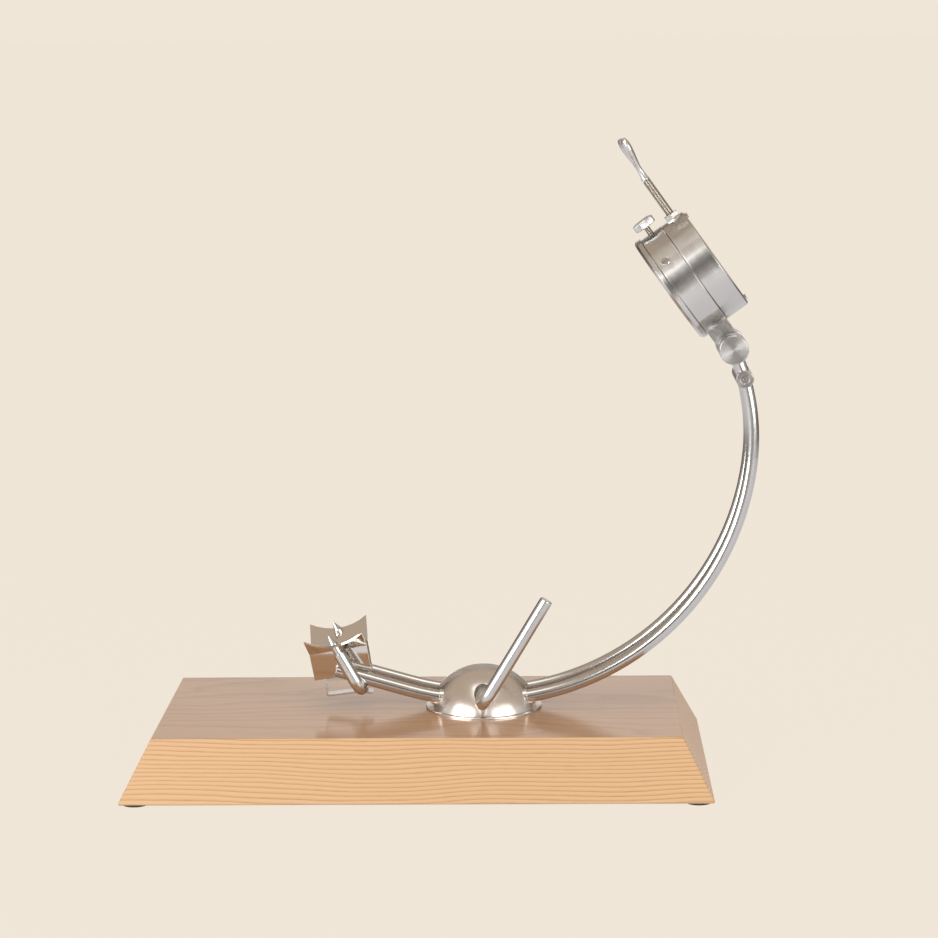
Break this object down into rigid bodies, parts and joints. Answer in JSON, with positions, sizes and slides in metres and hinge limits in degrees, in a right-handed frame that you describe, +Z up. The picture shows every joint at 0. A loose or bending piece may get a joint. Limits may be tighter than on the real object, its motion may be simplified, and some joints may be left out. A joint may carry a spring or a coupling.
{
  "type": "ham holder stand",
  "caption": "Stand for carving a whole cured leg: wooden board, split dome clamp with lever, sliding bent rods, prong cradle, and a tilting, turning ring with a clamp screw.",
  "frame": {"origin": "on the table, under the middle of the whole stand's bounding box", "axes": "+X from the prong cradle towards the ring head, +Y away from the clamp lever, +Z up"},
  "size_m": [0.5858, 0.2978, 0.5922],
  "materials": {
    "ash_wood": "satin varnish",
    "dark_rubber": "matte",
    "polished_steel": "polished",
    "turned_steel": "fine turned",
    "thread_steel": "bright zinc plated",
    "dark_fibre": "matte",
    "pale_nylon": "satin"
  },
  "bodies": {
    "base": {"wooden_base": "ash_wood", "rubber_feet": "dark_rubber", "hold_screws": "thread_steel", "clamp_flange": "polished_steel", "centre_block": "turned_steel", "rear_jaw": "polished_steel", "guide_pins": "turned_steel"},
    "front_jaw": {"front_jaw": "polished_steel"},
    "clamp_lever": {"lever_rod": "polished_steel", "lever_stud": "thread_steel"},
    "gondola": {"arc_rod_front": "polished_steel", "arc_rod_rear": "polished_steel", "spike_fork": "polished_steel", "cradle_trough": "polished_steel", "cradle_clip": "polished_steel", "cross_barrel": "turned_steel", "barrel_grub_screws": "thread_steel", "pivot_eye_front": "turned_steel", "pivot_eye_rear": "turned_steel", "pivot_bolt": "thread_steel", "pivot_nut": "thread_steel", "friction_washers": "dark_fibre"},
    "tilt_knob": {"tilt_knob": "turned_steel"},
    "head": {"ring_stator": "turned_steel", "head_bracket": "turned_steel", "index_plunger": "thread_steel"},
    "rotor": {"ring_rotor": "turned_steel", "rim_screws": "thread_steel", "ring_collar": "turned_steel", "clamp_nut": "thread_steel"},
    "clamp_pad": {"clamp_pad": "turned_steel"},
    "clamp_screw": {"clamp_screw_rod": "thread_steel", "wing_handle": "polished_steel"},
    "lock_tip": {"lock_tip": "pale_nylon"},
    "lock_screw": {"lock_screw_stem": "thread_steel", "lock_screw_head": "turned_steel"},
    "index_ball": {"index_ball": "polished_steel"}
  },
  "joints": [
    {"name": "jaw_slide", "type": "slide", "parent": "base", "child": "front_jaw", "axis": [0, 1, 0], "range_m": [-0.00051, 0]},
    {"name": "lever_turn", "type": "hinge", "parent": "front_jaw", "child": "clamp_lever", "pos_m": [0.03512, -0.028, 0.0774], "axis": [0, 1, 0], "range_deg": [-120, 0]},
    {"name": "arc_slide", "type": "hinge", "parent": "base", "child": "gondola", "pos_m": [0.03512, 0, 0.318], "axis": [0, 1, 0], "range_deg": [-2, 40]},
    {"name": "head_tilt", "type": "hinge", "parent": "gondola", "child": "head", "pos_m": [0.26818, 0, 0.39799], "axis": [0, 1, 0], "range_deg": [-35, 40]},
    {"name": "knob_turn", "type": "hinge", "parent": "gondola", "child": "tilt_knob", "pos_m": [0.26818, -0.03, 0.39799], "axis": [0, 1, 0], "range_deg": [-180, 10]},
    {"name": "rotor_spin", "type": "hinge", "parent": "head", "child": "rotor", "pos_m": [0.224, 0, 0.45971], "axis": [0.8131, 0, 0.5821], "continuous": true},
    {"name": "clamp_feed", "type": "slide", "parent": "rotor", "child": "clamp_pad", "axis": [0.5821, 0, -0.8131], "range_m": [-0.00375, 0.03125]},
    {"name": "clamp_turn", "type": "hinge", "parent": "clamp_pad", "child": "clamp_screw", "pos_m": [0.21929, 0, 0.50922], "axis": [0.5821, 0, -0.8131], "range_deg": [-1080, 9000]},
    {"name": "lock_feed", "type": "slide", "parent": "head", "child": "lock_tip", "axis": [0.5821, 0, -0.8131], "range_m": [-0.003, 0]},
    {"name": "lock_turn", "type": "hinge", "parent": "lock_tip", "child": "lock_screw", "pos_m": [0.19314, 0, 0.5028], "axis": [0.5821, 0, -0.8131], "range_deg": [-1080, 0]},
    {"name": "ball_spring", "type": "slide", "parent": "head", "child": "index_ball", "axis": [-0.3085, -0.848, 0.4309], "range_m": [0, 0.001], "stiffness_N_per_m": 1500}
  ],
  "couplings": [
    {"joint": "jaw_slide", "follows": "lever_turn", "m_per_rad": 0.00023873},
    {"joint": "clamp_turn", "follows": "clamp_feed", "rad_per_m": 5026.5},
    {"joint": "lock_turn", "follows": "lock_feed", "rad_per_m": 6283.2}
  ]
}
